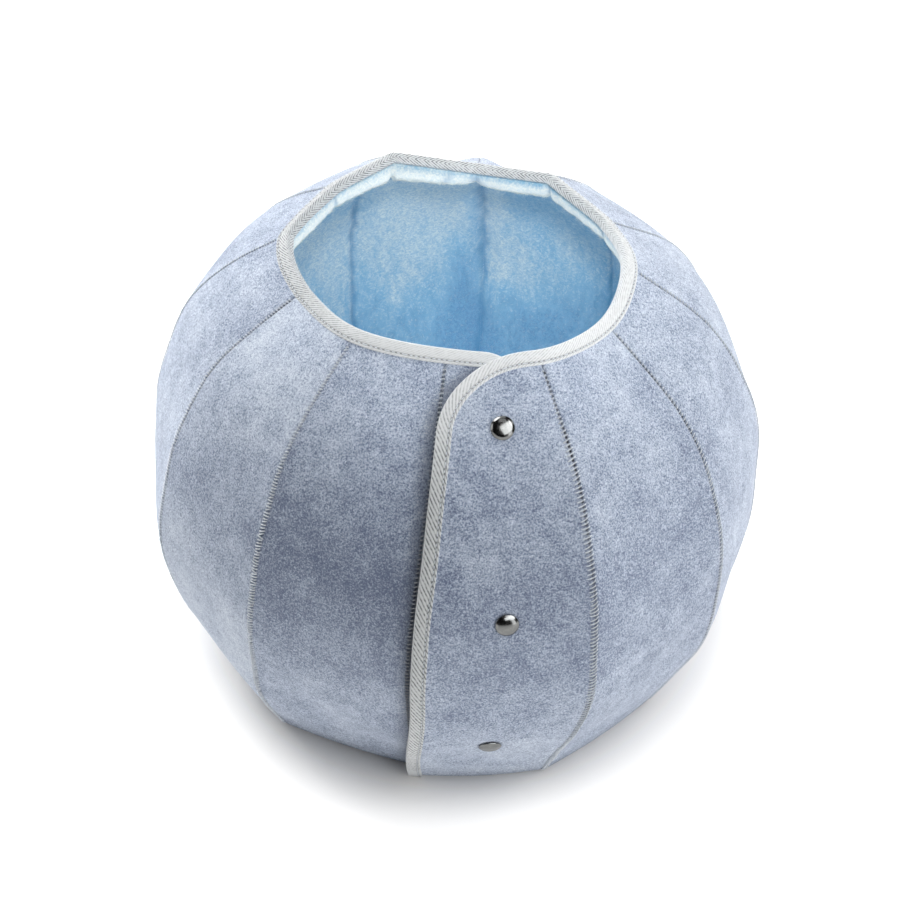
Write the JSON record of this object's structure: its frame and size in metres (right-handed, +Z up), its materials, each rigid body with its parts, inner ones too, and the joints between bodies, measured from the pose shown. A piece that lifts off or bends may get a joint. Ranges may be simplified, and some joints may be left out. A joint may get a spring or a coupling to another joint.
{
  "type": "collapsible round pet bed",
  "caption": "Collapsible round felt pet pod with an open mouth, plush lining, bound edges and a front flap closed by snaps.",
  "frame": {"origin": "on the floor, under the middle of the foot: the centre of the base panel's underside", "axes": "+Z up; -Y towards the front, where the flap and its snaps are; +X towards the right of someone who faces the front"},
  "size_m": [0.3941, 0.4031, 0.3117],
  "materials": {
    "felt": "heathered blue-grey needle felt",
    "plush": "short light-blue plush",
    "tape": "off-white twill binding tape",
    "snap": "polished gunmetal"
  },
  "bodies": {
    "root": {"felt_gore_01": "felt", "felt_gore_02": "felt", "felt_gore_03": "felt", "felt_gore_04": "felt", "felt_gore_05": "felt", "felt_gore_06": "felt", "felt_gore_07": "felt", "felt_gore_08": "felt", "felt_gore_09": "felt", "felt_gore_10": "felt", "felt_gore_11": "felt", "felt_underlap": "felt", "felt_flap": "felt", "base_panel": "felt", "lining_gore_01": "plush", "lining_gore_02": "plush", "lining_gore_03": "plush", "lining_gore_04": "plush", "lining_gore_05": "plush", "lining_gore_06": "plush", "lining_gore_07": "plush", "lining_gore_08": "plush", "lining_gore_09": "plush", "lining_gore_10": "plush", "lining_gore_11": "plush", "lining_underlap": "plush", "binding_tape": "tape", "snap_cap_top": "snap", "snap_cap_middle": "snap", "snap_cap_low": "snap"}
  },
  "joints": []
}
